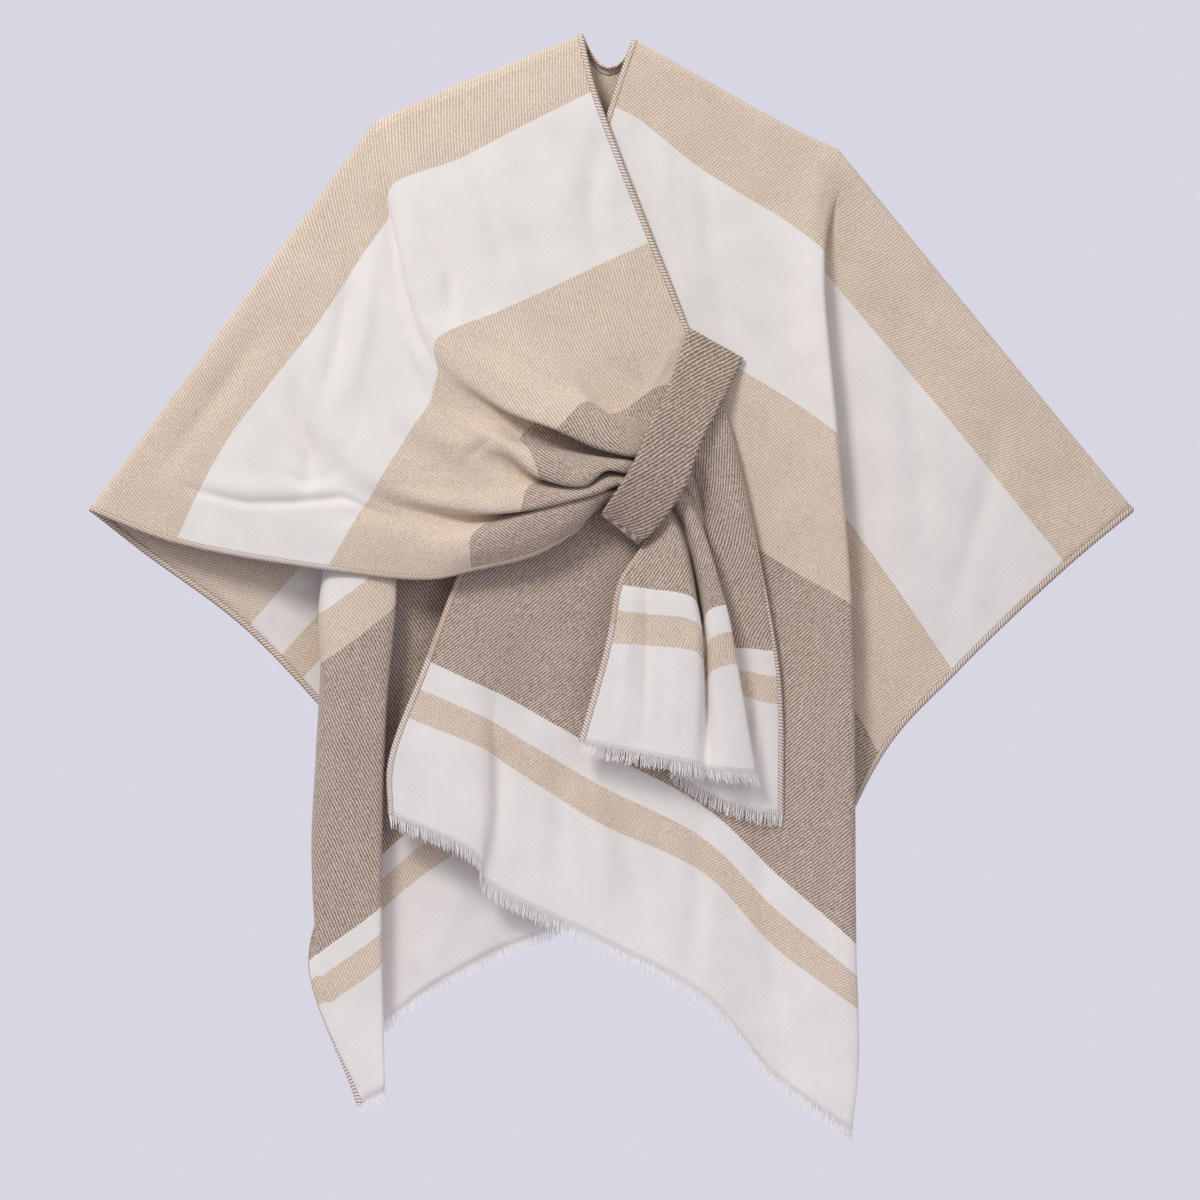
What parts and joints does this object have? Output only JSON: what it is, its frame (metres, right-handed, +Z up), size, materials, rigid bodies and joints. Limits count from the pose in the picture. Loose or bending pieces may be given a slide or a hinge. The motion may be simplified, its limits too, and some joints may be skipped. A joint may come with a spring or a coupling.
{
  "type": "ruana",
  "caption": "Striped twill ruana hung by its shoulder line: slit front, one side gathered through a keeper strap, fringed hems.",
  "frame": {"origin": "midway between the two neck points, in the middle of the shoulder line's fold", "axes": "+Z up, -Y towards the wearer's front, +X towards the wearer's left"},
  "size_m": [0.9724, 0.1126, 1.0299],
  "materials": {
    "striped_twill": "brushed, matt",
    "keeper_twill": "coarse twill, matt",
    "fringe_yarn": "fine loose yarn"
  },
  "bodies": {
    "root": {"back_right_wing_shoulder": "striped_twill", "back_right_wing": "striped_twill", "back_right_pleat": "striped_twill", "back_right_low": "striped_twill", "back_centre_shoulder": "striped_twill", "back_centre": "striped_twill", "back_left_pleat": "striped_twill", "back_left_low": "striped_twill", "back_left_wing_shoulder": "striped_twill", "back_left_wing": "striped_twill", "front_left_shoulder": "striped_twill", "front_left": "striped_twill", "front_left_pleat": "striped_twill", "front_left_low": "striped_twill", "front_left_wing_shoulder": "striped_twill", "front_left_wing": "striped_twill", "front_right_shoulder": "striped_twill", "front_right": "striped_twill", "front_right_tail": "striped_twill", "keeper": "keeper_twill", "fringe_back": "fringe_yarn", "fringe_front_left": "fringe_yarn", "fringe_tail": "fringe_yarn"}
  },
  "joints": []
}
